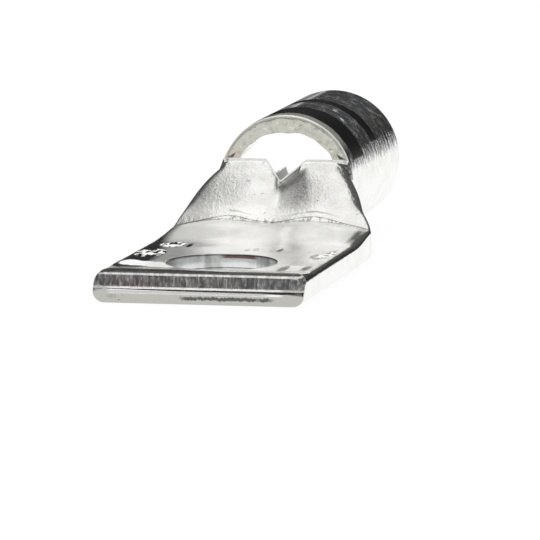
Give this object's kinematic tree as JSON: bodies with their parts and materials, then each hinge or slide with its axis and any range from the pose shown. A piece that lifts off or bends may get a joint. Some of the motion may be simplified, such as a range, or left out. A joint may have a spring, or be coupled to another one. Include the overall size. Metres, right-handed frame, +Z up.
{
  "type": "compression lug",
  "caption": "One-hole compression lug pressed from round tube: flat two-ply palm with a stud hole, sheared inspection window and round barrel for a stranded conductor.",
  "frame": {"origin": "centre of the stud hole on the palm's underside", "axes": "+X across the palm, +Y along the tube from the palm towards the conductor entry, +Z up from the palm's underside"},
  "size_m": [0.021, 0.0585, 0.014],
  "materials": {
    "tinned_copper": "bright tin plate over copper, fine drawing lines along the tube and two black ink bands round the barrel"
  },
  "bodies": {
    "root": {"lug": "tinned_copper"}
  },
  "joints": []
}
